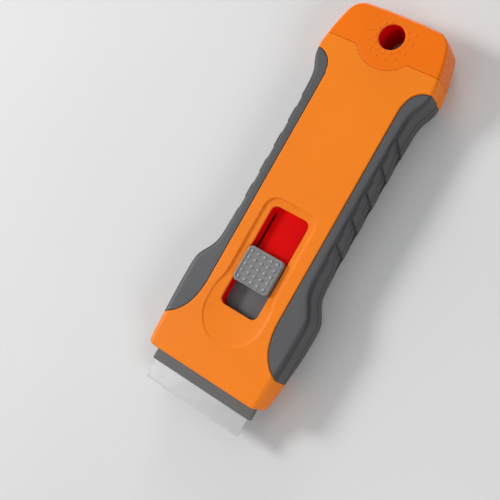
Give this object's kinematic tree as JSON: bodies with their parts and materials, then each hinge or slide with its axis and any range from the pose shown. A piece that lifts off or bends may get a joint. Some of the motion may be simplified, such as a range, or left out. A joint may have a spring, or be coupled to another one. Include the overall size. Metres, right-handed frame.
{
  "type": "retractable blade scraper",
  "caption": "Hand scraper with a retractable razor blade, sliding thumb button in a window, soft side grips, pull-off end cap and hanging hole.",
  "frame": {"origin": "centre of the overall box at the level of the back face, on which the scraper lies", "axes": "+X right seen from the front, +Y from the blade edge towards the hanging hole, +Z out of the button face"},
  "size_m": [0.0468, 0.141, 0.0162],
  "materials": {
    "shell_orange": "satin moulded ABS",
    "cap_orange": "semi-gloss moulded ABS",
    "grip_rubber": "matte soft overmould, fine grain",
    "red_plastic": "semi-gloss moulded",
    "holder_grey": "matte moulded",
    "button_grey": "matte, fine grain",
    "blade_steel": "ground and satin polished",
    "spine_steel": "folded sheet",
    "spring_steel": "satin",
    "plated_steel": "zinc plated"
  },
  "bodies": {
    "handle": {"front_shell": "shell_orange", "rear_shell": "shell_orange", "grip_front_left": "grip_rubber", "grip_front_right": "grip_rubber", "grip_rear_left": "grip_rubber", "grip_rear_right": "grip_rubber", "inner_frame": "red_plastic", "spare_blades": "blade_steel", "spare_spines": "spine_steel", "store_spring": "spring_steel", "housing_screws": "plated_steel"},
    "cap": {"end_cap": "cap_orange", "hole_liner": "red_plastic"},
    "holder": {"holder_base": "holder_grey", "holder_cover": "holder_grey", "holder_rivets": "plated_steel", "button_spring": "spring_steel"},
    "button": {"slide_button": "button_grey"},
    "razor": {"blade": "blade_steel", "blade_spine": "spine_steel"}
  },
  "joints": [
    {"name": "holder_slide", "type": "slide", "parent": "handle", "child": "holder", "axis": [0, 1, 0], "range_m": [0, 0.0143]},
    {"name": "button_press", "type": "slide", "parent": "holder", "child": "button", "axis": [0, 0, -1], "range_m": [0, 0.0012], "stiffness_N_per_m": 800, "springref_m": -0.0008, "deforming": ["button_spring"]},
    {"name": "blade_change", "type": "slide", "parent": "holder", "child": "razor", "axis": [0, -1, 0], "range_m": [0, 0.02]},
    {"name": "cap_pull", "type": "slide", "parent": "handle", "child": "cap", "axis": [0, 1, 0], "range_m": [0, 0.03]}
  ]
}
